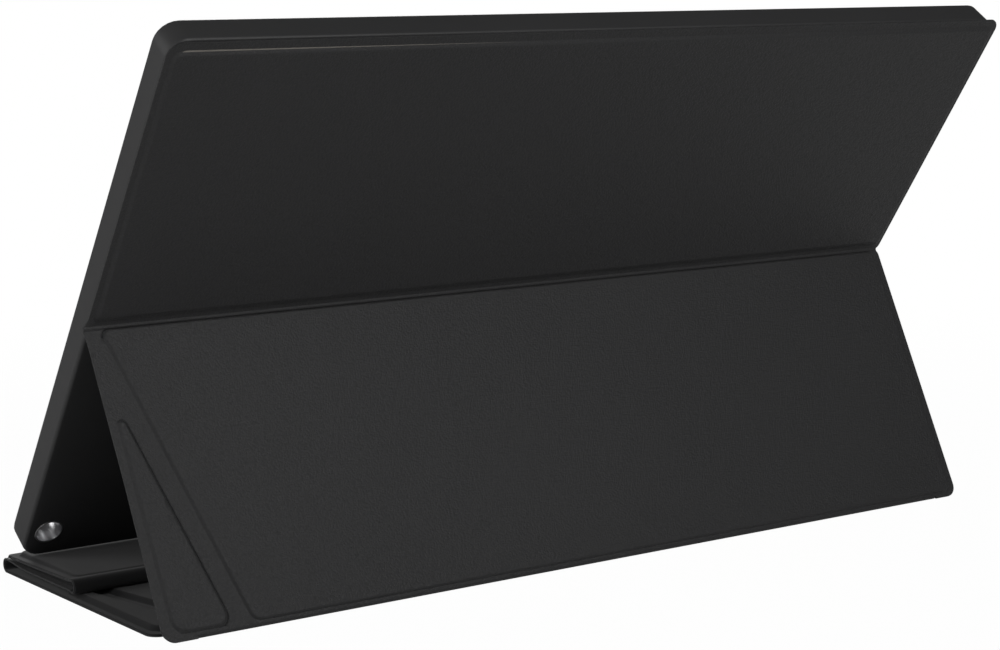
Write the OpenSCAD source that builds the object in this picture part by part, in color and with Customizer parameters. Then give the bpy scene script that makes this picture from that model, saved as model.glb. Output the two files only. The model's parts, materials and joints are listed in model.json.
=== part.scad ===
// Portable monitor standing on its folding cover, screen towards -Y, leg towards +Y.
// The monitor's own frame has X across, Y up the back and Z from the back to the screen.
// Each cover panel has its own frame: Y along the cover, Z from the lining to the outer leather.

/* [Monitor] */
// From the lit area to the monitor's sides
side_rim = 7.75; // [7:0.05:12]
// From the lit area to the monitor's top edge
top_rim = 8; // [7:0.1:14]
// Thickness of the monitor
monitor_t = 10.5; // [10:0.1:13]
// Corner radius seen from the front
corner_r = 7.5; // [6:0.1:9]
// Rounding along the back edge
back_edge_r = 1.2; // [0.6:0.1:1.4]
// Rounding along the front edge
front_edge_r = 0.8; // [0.4:0.1:1]
// Thickness of the side walls
side_wall = 1.6; // [1.2:0.1:2]
// Thickness of the back wall
back_wall = 1.5; // [1.2:0.1:1.8]
// Width of the ledge that the bezel seats on
ledge_w = 1; // [0.8:0.1:1.2]
// Thickness of the front bezel
bezel_t = 1.2; // [1:0.1:1.5]
// Gap round the bezel
bezel_gap = 0.1; // [0.05:0.01:0.2]
// Width of a snap hook on the bezel
hook_w = 10; // [6:0.5:14]
// How far a snap hook reaches behind the bezel
hook_reach = 3; // [2.4:0.1:3.6]
// Thickness of the ribs that carry the panel
rib_t = 1; // [0.8:0.1:1.4]

/* [Screen] */
// Width of the lit area
screen_w = 344.2; // [320:0.1:345]
// Height of the lit area
screen_h = 193.6; // [180:0.1:194]
// From the monitor's lower edge to the lit area
chin_h = 24.8; // [24:0.1:26]
// How far the bezel's window clears the lit area
window_gap = 0.5; // [0.2:0.05:1]
// How far the glass runs past the lit area at the sides and the top
glass_rim = 2.6; // [1.5:0.1:3]
// How far the glass runs past the lit area at the bottom
glass_foot = 5; // [3:0.1:5]
// Thickness of the liquid crystal glass
glass_t = 1.4; // [1:0.1:1.6]
// Thickness of the light guide with its films
guide_t = 1.6; // [1.2:0.1:1.8]
// Width of the lamp strip
lamp_w = 1.4; // [1:0.1:1.8]
// Number of lamps on the strip
lamp_count = 36; // [20:1:60]
// Thickness of the metal tray
tray_wall = 0.4; // [0.3:0.05:0.5]

/* [Pen hole] */
// Radius of the hole through the corner
pen_hole_r = 4.7; // [3.5:0.1:4.8]
// Wall of the metal sleeve
sleeve_wall = 0.6; // [0.4:0.05:0.7]
// Plastic round the sleeve
sleeve_boss = 1; // [0.8:0.05:1.1]
// From the monitor's side to the hole's centre
pen_hole_side = 8.55; // [8.4:0.05:9]
// From the monitor's lower edge to the hole's centre
pen_hole_up = 11.8; // [10:0.1:11.9]

/* [Keys] */
// Width of a key
key_w = 9; // [7:0.1:10]
// Height of a key
key_h = 3.6; // [3:0.1:4.5]
// How far a key stands proud of the bezel
key_proud = 0.3; // [0.2:0.05:0.5]
// Travel of a key
key_travel = 0.4; // [0.2:0.05:0.5]
// Gap round a key
key_gap = 0.15; // [0.1:0.01:0.25]
// Rim behind the bezel that keeps a key in
key_rim = 1; // [0.6:0.05:1.2]
// Distance between keys
key_pitch = 15; // [13:0.5:18]
// From the monitor's lower edge to the keys' middle
key_up = 10; // [9:0.1:12]
// From the monitor's side to the first key
key_side = 30; // [24:0.5:40]

/* [Socket] */
// Width of the socket's shell, along the side of the monitor
socket_w = 8.9; // [8.5:0.1:9.2]
// Height of the socket's shell
socket_h = 3.2; // [3:0.1:3.4]
// Depth of the socket
socket_d = 7.4; // [6.5:0.1:9]
// Wall of the socket's shell
socket_wall = 0.3; // [0.2:0.05:0.4]
// From the monitor's lower edge to the socket's middle
socket_up = 13; // [12:0.1:14]
// Gap between the socket and the wall round it
socket_gap = 0.15; // [0.1:0.01:0.3]

/* [Circuit boards] */
// Thickness of the circuit boards
circuit_t = 1.2; // [0.8:0.05:1.3]
// Width of the main circuit board
main_board_w = 118; // [90:1:140]
// Height of the main circuit board
main_board_h = 34; // [30:1:36]
// Height of the thin board behind the panel
driver_h = 8; // [6:0.5:9]
// Width of the flat cable to the panel
ribbon_w = 32; // [20:1:40]
// Thickness of the flat cable
ribbon_t = 0.3; // [0.2:0.05:0.35]
// Radius of a screw's shank
screw_r = 0.75; // [0.6:0.05:0.9]
// Radius of a screw's head
screw_head_r = 1.7; // [1.4:0.05:1.9]
// Radius of a screw post
post_r = 2.2; // [2:0.1:2.6]
// From a board's edge to the middle of a screw
post_inset = 4; // [3:0.1:5]
// Width of the small board past the outer keys' middles
key_board_side = 7; // [6:0.5:10]
// Height of the small board under the keys
key_board_h = 8; // [6:0.5:9]
// Width of a switch under a key
switch_w = 4; // [3:0.5:5]

/* [Magnets] */
// Length of a magnet
magnet_l = 30; // [20:1:36]
// Width of a magnet
magnet_w = 8; // [6:0.5:10]
// Thickness of a magnet in the monitor
magnet_t = 2; // [1.5:0.1:3]
// Thickness of a magnet in the cover's board
cover_magnet_t = 1; // [0.6:0.05:1.1]
// From the cover's side to the middle of the outer magnets
magnet_side = 39; // [30:1:60]
// From the cover's middle to the middle of the inner magnets
magnet_inner = 60; // [40:1:80]
// From the crease to the middle of the lower magnets
magnet_foot = 22; // [18:1:40]
// From the cover's top edge to the middle of the upper magnets
magnet_head = 20; // [16:1:30]

/* [Stand] */
// Lean of the monitor from upright
lean = 35.5; // [28:0.5:40]
// Tilt of the leg from upright
leg_tilt = 25.5; // [20:0.5:30]
// From the monitor's lower edge up the back to the crease
crease_up = 111.2; // [104:0.1:116]
// How far the front fold lies ahead of the monitor's lower back edge
fold_ahead = 13.8; // [12:0.1:18]
// How far the back fold lies behind the monitor's lower back edge
fold_behind = 41.7; // [34:0.1:48]
// How far the top panel's free edge lies ahead of the monitor's lower back edge
lip_ahead = 11.2; // [8:0.1:11.5]

/* [Cover] */
// Thickness of the outer leather
skin_t = 0.8; // [0.6:0.05:1]
// Thickness of the lining
lining_t = 0.5; // [0.4:0.05:0.55]
// Thickness of the stiff boards
board_t = 1.3; // [1.2:0.05:1.5]
// How far the cover's long sides stay inside the monitor's
cover_inset = 0.4; // [0.2:0.1:1]
// How far the cover stands above the monitor's top edge
cover_over = 1.1; // [0.5:0.1:2]
// Corner radius of the cover's free corners
cover_r = 7.5; // [5:0.1:9]
// Corner radius of the upper panel and the leg at the crease
crease_r = 3.5; // [1:0.1:5]
// How far the crease's bead stays inside the cover's sides
crease_inset = 2.5; // [1:0.1:6]
// Bare leather beside the upper board
upper_side = 2.2; // [1.8:0.1:4]
// Bare leather above the upper board
upper_top = 4; // [2.5:0.1:5]
// Bare leather between the upper board and the crease
upper_foot = 6.4; // [4.5:0.1:8]
// Bare leather beside the other boards
board_side = 3.6; // [3:0.1:4.5]
// Bare leather between a board and a fold or a free edge
board_end = 3.2; // [3:0.1:4.5]
// From the crease to the leg's board
leg_board_top = 1.5; // [1.4:0.1:3]
// Corner radius of the boards
board_r = 3; // [2:0.1:3.5]
// Corner radius of the corner boards at their wide end
corner_board_r = 5; // [2:0.1:6]
// Gap between the two boards of the leg and of the floor panel
corner_gap = 7.4; // [5:0.1:9]
// Width of a corner board's blunt tip
tip_w = 2.4; // [2.2:0.1:4]
// From the upper end of the leg board's slant to the corner board's outer side
slant_start = 2.2; // [1:0.1:4]
// How far the slanted end of the leg's board runs in over the leg's length
leg_slant = 26; // [18:0.5:32]
// How far the slanted end of the floor's board runs in over the panel's length
floor_slant = 19; // [14:0.5:26]
// Width of the leather spine between the leg and the floor panel
spine_w = 9.6; // [7:0.1:12]
// How far the spine stays inside the leg at each end
spine_inset = 10; // [8:0.5:20]
// Clearance between stacked panels, and between the cover and the monitor
stack_gap = 0.2; // [0.1:0.05:0.4]
// Clearance between the monitor's lower edge and the panel under it
rest_gap = 0.3; // [0.2:0.05:0.5]
// Clearance round the rounded ends at the crease and the foot
fold_gap = 0.15; // [0.1:0.05:0.3]

/* [Hidden] */
$fn = 32;
arc_steps = 6;
cut = 1;
fit = 0.05;

monitor_w = screen_w + 2 * side_rim;
monitor_h = chin_h + screen_h + top_rim;

// Cover section, measured from the lining's face over a board to the leather over it
board_low = lining_t;
board_high = board_low + board_t;
panel_t = board_high + skin_t;
fold_mid = panel_t / 2;
leather_low = fold_mid - skin_t / 2;
leather_high = fold_mid + skin_t / 2;
margin_low = leather_low - lining_t;
cover_half = monitor_w / 2 - cover_inset;
board_half = cover_half - board_side;
spine_half = cover_half - spine_inset;

// Heights of the folded base
mid_z = panel_t + stack_gap;
top_z = mid_z + panel_t + stack_gap;
base_h = top_z + panel_t;
front_fold_z = panel_t + stack_gap / 2;
back_fold_z = top_z - stack_gap / 2;
mid_len = fold_ahead + fold_behind;
top_len = fold_behind + lip_ahead;

// Height of the monitor's lower back edge, whose rounding clears the base
stand_z = base_h + rest_gap - back_edge_r * (cos(lean) + sin(lean) - 1);

// Crease and foot: the leg is as long as it takes to reach the desk
crease_n = stack_gap + fold_mid;
crease_y = crease_up * sin(lean) + crease_n * cos(lean);
crease_z = stand_z + crease_up * cos(lean) - crease_n * sin(lean);
leg_len = (crease_z - fold_mid) / cos(leg_tilt);
foot_y = crease_y + leg_len * sin(leg_tilt);
floor_rear = foot_y - spine_w;
floor_len = floor_rear + fold_ahead;
upper_len = monitor_h + cover_over - crease_up;

// The model's middle along Y
reach_back = (monitor_h + cover_over) * sin(lean) + (stack_gap + leather_high) * cos(lean);
reach_front = fold_ahead + front_fold_z - panel_t + leather_high;
middle_y = (reach_back - reach_front) / 2;

// Depths inside the monitor, from its back
bezel_z = monitor_t - bezel_t;
glass_z = bezel_z - glass_t;
guide_z = glass_z - guide_t;
tray_z = guide_z - tray_wall;
socket_mid = monitor_t / 2;
main_board_top = socket_mid - socket_h / 2;
main_board_z = main_board_top - circuit_t;
driver_t = 0.8;
driver_z = tray_z - driver_t;

// Edges of the hollow, the glass and the tray
inner_half = monitor_w / 2 - side_wall - ledge_w;
glass_half = screen_w / 2 + glass_rim;
glass_low = chin_h - glass_foot;
glass_high = chin_h + screen_h + glass_rim;
tray_play = 0.2;
tray_out = tray_play + tray_wall;

// Keys
key_spots = [for (i = [0:2]) [monitor_w / 2 - key_side - i * key_pitch, key_up]];
rim_t = 0.6;
rim_z = bezel_z - fit - rim_t;
stem_len = 1;
stem_r = 1;
switch_h = 1.5;
switch_top = rim_z - stem_len - key_travel - fit;
key_board_top = switch_top - switch_h;

// Main board, screws and magnets
main_board_x = -inner_half + tray_play;
main_board_y = socket_up - socket_w / 2 - post_r;
driver_y = main_board_y + main_board_h + post_inset;
first_post = socket_d + post_inset;
screw_head_h = 0.7;
main_posts = [for (i = [0, 1], j = [0, 1])
    [main_board_x + first_post + i * (main_board_w - first_post - post_inset),
     main_board_y + post_inset + j * (main_board_h - 2 * post_inset)]];
key_posts = [for (i = [0.5, 1.5]) [key_spots[0].x - i * key_pitch, key_up]];
magnet_high = upper_len - magnet_head;
magnet_out = cover_half - magnet_side;
magnet_spots = [for (side = [-1, 1]) each [[side * magnet_out, magnet_foot],
    [side * magnet_out, magnet_high], [side * magnet_inner, magnet_high]]];
magnet_seat = 0.8;
function spread(count, span) = [for (i = [1:count]) (i - 0.5) * span / count - span / 2];
rib_columns = spread(3, 2 * glass_half);
rib_low = driver_y + 2 * driver_h;

// Snap hooks, as [x, y, direction of the wall]
inner_low = side_wall + ledge_w;
hook_spots = concat(
    [for (x = spread(4, 2 * inner_half)) [x, monitor_h - inner_low, 90]],
    [for (x = spread(3, 2 * inner_half)) [x, inner_low, -90]],
    [for (y = spread(3, monitor_h), side = [0, 1])
        [inner_half * (1 - 2 * side), monitor_h / 2 + y, 180 * side]]);
hook_t = 0.8;
hook_lip = 0.45;
hook_h = 1.2;

leather = [0.13, 0.13, 0.135];
lining = [0.09, 0.09, 0.095];
greyboard = [0.45, 0.43, 0.40];
casing = [0.25, 0.25, 0.26];
metal = [0.75, 0.76, 0.78];

// Rounded outlines: corners p to s are rounded to r, and the whole grows by d
function unit(v) = v / norm(v);
function corner_arc(p, q, s, r, d) =
    let (a = unit(q - p), b = unit(s - q),
        m = [a.y, -a.x], n = [b.y, -b.x],
        c = q - (m + n) * r / (1 + m * n),
        start = atan2(m.y, m.x),
        turn = atan2(m.x * n.y - m.y * n.x, m * n))
    [for (i = [0:arc_steps]) c + (r + d) * [cos(start + turn * i / arc_steps),
                                            sin(start + turn * i / arc_steps)]];
function outline(shape, d = 0) =
    let (pts = shape[0], r = shape[1], n = len(pts))
    [for (i = [0:n - 1]) each corner_arc(pts[(i + n - 1) % n], pts[i], pts[(i + 1) % n], r[i], d)];

// A shape is a list of corners and a list of their radii
function block(x0, y0, x1, y1, r) = [[[x0, y0], [x1, y0], [x1, y1], [x0, y1]], [r, r, r, r]];
function pill(w, h) = block(-w / 2, -h / 2, w / 2, h / 2, h * 0.49);

module slab(shape, z0, z1, d = 0) {
    translate([0, 0, z0]) linear_extrude(z1 - z0) polygon(outline(shape, d));
}

// Solid through a stack of rings, each given as [outset, z] from the bottom up
module loft(shape, steps) {
    rings = [for (s = steps) [for (p = outline(shape, s[0])) [p.x, p.y, s[1]]]];
    n = len(rings[0]);
    m = len(rings);
    sides = [for (j = [0:m - 2], i = [0:n - 1])
        [j * n + i, (j + 1) * n + i, (j + 1) * n + (i + 1) % n, j * n + (i + 1) % n]];
    polyhedron([for (g = rings) each g],
        concat([[for (i = [0:n - 1]) i]], [[for (i = [n - 1:-1:0]) (m - 1) * n + i]], sides));
}

module rod(r, length) {
    rotate([0, 90, 0]) cylinder(r = r, h = length, center = true);
}

// Frames
module monitor_frame() {
    translate([0, -middle_y, stand_z]) rotate([90 - lean, 0, 0]) children();
}

module upper_frame() {
    monitor_frame() translate([0, crease_up, 0]) mirror([0, 0, 1])
        translate([0, 0, stack_gap]) children();
}

module leg_frame() {
    translate([0, crease_y - middle_y, crease_z]) rotate([leg_tilt - 90, 0, 0])
        translate([0, 0, -fold_mid]) children();
}

module floor_frame() {
    translate([0, floor_rear - middle_y, panel_t]) rotate([180, 0, 0]) children();
}

module mid_frame() {
    translate([0, -fold_ahead - middle_y, mid_z]) children();
}

module top_frame() {
    translate([0, fold_behind - middle_y, base_h]) rotate([180, 0, 0]) children();
}

// Leather or lining: a sheet that swells over each board, with the board's room cut out
shoulder = [[1.6, 0], [1.15, 0.6], [0.5, 0.92], [-0.6, 1]];

module skin(sheet, boards) {
    rise = panel_t - leather_high;
    pad = [for (s = shoulder) [s[0] * skin_t, leather_high + s[1] * rise]];
    difference() {
        union() {
            slab(sheet, leather_low, leather_high);
            for (b = boards) loft(b, concat([[pad[0][0], leather_low]], pad));
            children();
        }
        for (b = boards) slab(b, leather_low - cut, board_high);
    }
}

module inner_lining(sheet, boards) {
    last = len(shoulder) - 1;
    pad = [for (i = [last:-1:0]) [shoulder[i][0] * lining_t, margin_low * (1 - shoulder[i][1])]];
    difference() {
        union() {
            slab(sheet, margin_low, leather_low);
            for (b = boards) loft(b, concat(pad, [[pad[last][0], leather_low]]));
        }
        for (b = boards) slab(b, board_low, leather_low + cut);
    }
}

// Half tube of leather that joins two stacked panels, open towards +Y
module half_fold(r_in, r_out) {
    difference() {
        rod(r_out, 2 * cover_half);
        rod(r_in, 2 * cover_half + 2 * cut);
        translate([-cover_half - cut, 0, -r_out - cut])
            cube([2 * (cover_half + cut), r_out + cut, 2 * (r_out + cut)]);
    }
}

// Outlines of the cover's sheets and boards
fold_r = 0.9;

function sheet_shape(length, near_r, far_r) =
    [[[-cover_half, 0], [cover_half, 0], [cover_half, length], [-cover_half, length]],
     [near_r, near_r, far_r, far_r]];

function plain_board(length) =
    block(-board_half, board_end, board_half, length - board_end, board_r);

upper_sheet = sheet_shape(upper_len, crease_r, cover_r);
upper_half = cover_half - upper_side;
upper_board_shape = block(-upper_half, upper_foot, upper_half, upper_len - upper_top, board_r);

leg_sheet = sheet_shape(leg_len + skin_t / 2, crease_r, cover_r);
leg_slope = leg_slant / leg_len;
leg_end = leg_len - board_end;
function leg_slant_x(y) = board_half - slant_start - leg_slope * y;
leg_tip_y = (tip_w + corner_gap - slant_start) / leg_slope;
leg_board_shape = [[[-board_half, leg_board_top], [leg_slant_x(leg_board_top), leg_board_top],
    [leg_slant_x(leg_end), leg_end], [-board_half, leg_end]], [board_r, board_r, board_r, board_r]];
leg_corner_shape = [[[board_half - tip_w, leg_tip_y], [board_half, leg_tip_y],
    [board_half, leg_end], [leg_slant_x(leg_end) + corner_gap, leg_end]],
    [tip_w * 0.4, tip_w * 0.4, corner_board_r, corner_board_r]];

floor_sheet = [[[-cover_half, 0], [cover_half, 0], [cover_half, floor_len], [-cover_half, floor_len]],
    [cover_r, cover_r, fold_r, fold_r]];
floor_slope = floor_slant / floor_len;
floor_end = floor_len - board_end;
function floor_slant_x(y) = board_half - slant_start - floor_slope * (floor_len - y);
floor_tip_y = floor_len - (tip_w + corner_gap - slant_start) / floor_slope;
floor_board_shape = [[[-board_half, board_end], [floor_slant_x(board_end), board_end],
    [floor_slant_x(floor_end), floor_end], [-board_half, floor_end]],
    [board_r, board_r, board_r, board_r]];
floor_corner_shape = [[[floor_slant_x(board_end) + corner_gap, board_end], [board_half, board_end],
    [board_half, floor_tip_y], [board_half - tip_w, floor_tip_y]],
    [corner_board_r, corner_board_r, tip_w * 0.4, tip_w * 0.4]];

mid_sheet = sheet_shape(mid_len, fold_r, fold_r);
mid_board_shape = plain_board(mid_len);
top_sheet = sheet_shape(top_len, fold_r, cover_r);
top_board_shape = plain_board(top_len);

// Cover, upper half
module crease_socket() {
    translate([0, 0, fold_mid]) rod(fold_mid + fold_gap, 2 * (cover_half + cut));
}

module upper_skin() {
    color(leather) upper_frame() difference() {
        skin(upper_sheet, [upper_board_shape]);
        crease_socket();
    }
}

module upper_board() {
    color(greyboard) upper_frame() difference() {
        slab(upper_board_shape, board_low, board_high);
        for (p = magnet_spots) translate(p) magnet_bar(board_low - cut, board_low + cover_magnet_t);
    }
}

module upper_lining() {
    color(lining) upper_frame() difference() {
        inner_lining(upper_sheet, [upper_board_shape]);
        crease_socket();
    }
}

module magnet_bar(z0, z1) {
    translate([-magnet_l / 2, -magnet_w / 2, z0]) cube([magnet_l, magnet_w, z1 - z0]);
}

module cover_magnets() {
    color(metal) upper_frame() for (p = magnet_spots) translate(p)
        magnet_bar(board_low, board_low + cover_magnet_t);
}

// Cover, leg
module leg_skin() {
    color(leather) leg_frame() skin(leg_sheet, [leg_board_shape, leg_corner_shape]) {
        translate([0, 0, fold_mid]) rod(fold_mid, 2 * (cover_half - crease_inset));
        translate([0, leg_len, fold_mid]) rod(fold_mid, 2 * spine_half);
    }
}

module leg_board() {
    color(greyboard) leg_frame() slab(leg_board_shape, board_low, board_high);
}

module leg_corner_board() {
    color(greyboard) leg_frame() slab(leg_corner_shape, board_low, board_high);
}

module leg_lining() {
    color(lining) leg_frame() difference() {
        inner_lining(leg_sheet, [leg_board_shape, leg_corner_shape]);
        translate([0, 0, fold_mid]) rod(fold_mid + fit, 2 * (cover_half + cut));
        translate([0, leg_len, fold_mid]) rod(fold_mid + fold_gap + lining_t, 2 * (cover_half + cut));
    }
}

// Cover, base
module spine_strip() {
    color(leather) floor_frame() difference() {
        translate([-spine_half, -spine_w, margin_low])
            cube([2 * spine_half, spine_w, leather_high - margin_low]);
        translate([0, -spine_w, fold_mid]) rod(fold_mid + fold_gap, 2 * (spine_half + cut));
    }
}

module floor_skin() {
    color(leather) floor_frame() skin(floor_sheet, [floor_board_shape, floor_corner_shape]);
}

module floor_board() {
    color(greyboard) floor_frame() slab(floor_board_shape, board_low, board_high);
}

module floor_corner_board() {
    color(greyboard) floor_frame() slab(floor_corner_shape, board_low, board_high);
}

module floor_lining() {
    color(lining) floor_frame() inner_lining(floor_sheet, [floor_board_shape, floor_corner_shape]);
}

module front_fold() {
    color(leather) translate([0, -fold_ahead - middle_y, front_fold_z])
        half_fold(front_fold_z - panel_t + margin_low, front_fold_z - panel_t + leather_high);
}

module mid_skin() {
    color(leather) mid_frame() skin(mid_sheet, [mid_board_shape]);
}

module mid_board() {
    color(greyboard) mid_frame() slab(mid_board_shape, board_low, board_high);
}

module mid_lining() {
    color(lining) mid_frame() inner_lining(mid_sheet, [mid_board_shape]);
}

module back_fold() {
    color(lining) translate([0, fold_behind - middle_y, back_fold_z]) mirror([0, 1, 0])
        half_fold(back_fold_z - mid_z - leather_high, back_fold_z - mid_z - margin_low);
}

module top_skin() {
    color(leather) top_frame() skin(top_sheet, [top_board_shape]);
}

module top_board() {
    color(greyboard) top_frame() slab(top_board_shape, board_low, board_high);
}

module top_lining() {
    color(lining) top_frame() inner_lining(top_sheet, [top_board_shape]);
}

// Monitor housing
case_shape = block(-monitor_w / 2, 0, monitor_w / 2, monitor_h, corner_r);
pen_hole = [monitor_w / 2 - pen_hole_side, pen_hole_up];
sleeve_r = pen_hole_r + sleeve_wall;
soft = 1 - sqrt(0.5);

module socket_room(z0, z1, grow) {
    translate([-monitor_w / 2 + z0, socket_up, socket_mid]) rotate([90, 0, 90])
        slab(pill(socket_w, socket_h), 0, z1 - z0, grow);
}

module post(height) {
    difference() {
        cylinder(r = post_r, h = height);
        translate([0, 0, -cut]) cylinder(r = screw_r, h = height + 2 * cut);
    }
}

module hook_profile(lip) {
    polygon([[0, 0], [hook_t, 0], [hook_t, hook_reach], [0, hook_reach],
        [-lip, hook_reach - hook_h * 0.6], [-lip, hook_reach - hook_h], [0, hook_reach - hook_h]]);
}

module rear_housing() {
    color(casing) monitor_frame() {
        difference() {
            loft(case_shape, [[-back_edge_r, 0], [-back_edge_r * soft, back_edge_r * soft],
                [0, back_edge_r], [0, monitor_t - front_edge_r],
                [-front_edge_r * soft, monitor_t - front_edge_r * soft], [-front_edge_r, monitor_t]]);
            difference() {
                slab(case_shape, back_wall, bezel_z + cut, -side_wall - ledge_w);
                translate(pen_hole) cylinder(r = sleeve_r + fit + sleeve_boss, h = monitor_t);
            }
            slab(case_shape, bezel_z, monitor_t + cut, -side_wall);
            translate([pen_hole.x, pen_hole.y, -cut])
                cylinder(r = sleeve_r + fit, h = monitor_t + 2 * cut);
            socket_room(-cut, side_wall + ledge_w + cut, socket_gap);
            for (p = magnet_spots) translate([p.x, p.y + crease_up, 0])
                magnet_bar(back_wall - magnet_seat, back_wall + cut);
            for (p = concat(main_posts, key_posts)) translate([p.x, p.y, back_wall - 0.6])
                cylinder(r = screw_r, h = cut);
            for (h = hook_spots) translate([h.x, h.y, bezel_z - hook_reach]) rotate(h[2])
                translate([-cut, -hook_w / 2 - 0.5, -0.1]) cube([cut + 0.6, hook_w + 1, hook_h + 0.2]);
        }
        for (p = main_posts) translate([p.x, p.y, back_wall]) post(main_board_z - back_wall);
        for (p = key_posts) translate([p.x, p.y, back_wall])
            post(key_board_top - circuit_t - back_wall);
        for (x = rib_columns) translate([x - rib_t / 2, rib_low, back_wall])
            cube([rib_t, glass_high - rib_low, tray_z - back_wall]);
        translate([-glass_half, rib_low, back_wall])
            cube([2 * glass_half, rib_t, tray_z - back_wall]);
    }
}

window_shape = block(-screen_w / 2 - window_gap, chin_h - window_gap, screen_w / 2 + window_gap,
    chin_h + screen_h + window_gap, 0.8);

module front_bezel() {
    color(casing) monitor_frame() {
        difference() {
            loft(case_shape, [[-side_wall - bezel_gap, bezel_z],
                [-side_wall - bezel_gap, monitor_t - 0.2], [-side_wall - bezel_gap - 0.2, monitor_t]]);
            slab(window_shape, bezel_z - cut, monitor_t + cut);
            for (p = key_spots) translate(p)
                slab(pill(key_w, key_h), bezel_z - cut, monitor_t + cut, key_gap);
            translate([pen_hole.x, pen_hole.y, bezel_z - cut])
                cylinder(r = sleeve_r + fit, h = bezel_t + 2 * cut);
        }
        for (h = hook_spots) translate([h.x, h.y, bezel_z]) rotate(h[2])
            translate([-fit, hook_w / 2, 0]) rotate([90, 0, 0]) mirror([1, 0, 0]) mirror([0, 1, 0])
                linear_extrude(hook_w) hook_profile(hook_lip);
    }
}

module pen_hole_sleeve() {
    color(metal) monitor_frame() translate([pen_hole.x, pen_hole.y, 0]) difference() {
        cylinder(r = sleeve_r, h = monitor_t);
        translate([0, 0, -cut]) cylinder(r = pen_hole_r, h = monitor_t + 2 * cut);
    }
}

module housing_magnets() {
    color(metal) monitor_frame() for (p = magnet_spots) translate([p.x, p.y + crease_up, 0])
        magnet_bar(back_wall - magnet_seat, back_wall - magnet_seat + magnet_t);
}

// Screen stack
glass_shape = block(-glass_half, glass_low, glass_half, glass_high, 0.6);
lamp_low = glass_low + 0.4;
guide_low = lamp_low + lamp_w + 0.2;

module lcd_panel() {
    color([0.03, 0.03, 0.035]) monitor_frame() slab(glass_shape, glass_z, bezel_z);
}

module light_guide() {
    color([0.85, 0.88, 0.9]) monitor_frame()
        slab(block(-glass_half + 1, guide_low, glass_half - 1, glass_high - 1, 0.6), guide_z, glass_z);
}

module led_strip() {
    strip_t = 0.4;
    lamp_pitch = (2 * glass_half - 8) / lamp_count;
    color([0.9, 0.9, 0.7]) monitor_frame() {
        translate([-glass_half + 1, lamp_low, guide_z]) cube([2 * glass_half - 2, strip_t, guide_t]);
        for (i = [0:lamp_count - 1])
            translate([-glass_half + 4 + (i + 0.5) * lamp_pitch - 1.5, lamp_low, guide_z + 0.2])
                cube([3, lamp_w, guide_t - 0.4]);
    }
}

module panel_tray() {
    color(metal) monitor_frame() difference() {
        slab(glass_shape, tray_z, bezel_z - 0.2, tray_out);
        slab(glass_shape, guide_z, bezel_z + cut, tray_play);
    }
}

module driver_board() {
    color("darkgreen") monitor_frame()
        translate([-glass_half * 0.6, driver_y, driver_z])
            cube([glass_half * 1.2, driver_h, driver_t]);
}

// Electronics
plug_l = 6;
plug_h = 0.9;
plug_x = main_board_x + main_board_w * 0.62;
plug_y = main_board_y + main_board_h - plug_l - 1;

module chip(share, w, d, h) {
    translate([main_board_x + share.x * main_board_w, main_board_y + share.y * main_board_h,
        main_board_top - fit]) cube([w, d, h + fit]);
}

module main_board() {
    color("darkgreen") monitor_frame() {
        difference() {
            translate([main_board_x, main_board_y, main_board_z])
                cube([main_board_w, main_board_h, circuit_t]);
            for (p = main_posts) translate([p.x, p.y, main_board_z - cut])
                cylinder(r = screw_r + 0.1, h = circuit_t + 2 * cut);
        }
        chip([0.29, 0.32], 14, 14, 1);
        chip([0.46, 0.26], 9, 9, 0.9);
        chip([0.17, 0.62], 8, 6, 0.8);
        chip([0.72, 0.18], 12, 8, 1);
        translate([plug_x - ribbon_w / 2 - 1, plug_y, main_board_top - fit])
            cube([ribbon_w + 2, plug_l, plug_h + fit]);
    }
}

// Flat cable: lies on the plug, climbs and ends under the driver board
module panel_cable() {
    low = main_board_top + plug_h;
    high = driver_z - ribbon_t;
    end_y = driver_y + driver_h - 1;
    route = [[plug_y + 1, low], [plug_y + plug_l + 1, low], [plug_y + plug_l + 4, high], [end_y, high]];
    upper = [for (i = [3:-1:0]) route[i] + [0, ribbon_t]];
    color("ivory") monitor_frame() translate([plug_x - ribbon_w / 2, 0, 0]) rotate([90, 0, 90])
        linear_extrude(ribbon_w) polygon(concat(route, upper));
}

module key_board() {
    color("darkgreen") monitor_frame() {
        difference() {
            translate([key_spots[2].x - key_board_side, key_up - key_board_h / 2,
                key_board_top - circuit_t])
                cube([2 * key_pitch + 2 * key_board_side, key_board_h, circuit_t]);
            for (p = key_posts) translate([p.x, p.y, key_board_top - circuit_t - cut])
                cylinder(r = screw_r + 0.1, h = circuit_t + 2 * cut);
        }
        for (p = key_spots)
            translate([p.x - switch_w / 2, p.y - switch_w / 2, key_board_top - fit])
                cube([switch_w, switch_w, switch_h * 0.7 + fit]);
        for (p = key_spots) translate([p.x, p.y, key_board_top]) cylinder(r = stem_r, h = switch_h);
    }
}

module screw(top) {
    translate([0, 0, top]) cylinder(r = screw_head_r, h = screw_head_h);
    translate([0, 0, top - circuit_t - 1]) cylinder(r = screw_r - fit, h = circuit_t + 1 + fit);
}

module board_screws() {
    color(metal) monitor_frame() {
        for (p = main_posts) translate(p) screw(main_board_top);
        for (p = key_posts) translate(p) screw(key_board_top);
    }
}

module usb_c_socket() {
    back = socket_d + 0.4;
    color(metal) monitor_frame() {
        difference() {
            socket_room(0.4, back, 0);
            socket_room(0, back - 0.8, -socket_wall);
        }
        translate([-monitor_w / 2 + 1.2, socket_up - socket_w * 0.34, socket_mid - 0.35])
            cube([socket_d - 1, socket_w * 0.68, 0.7]);
    }
}

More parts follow.
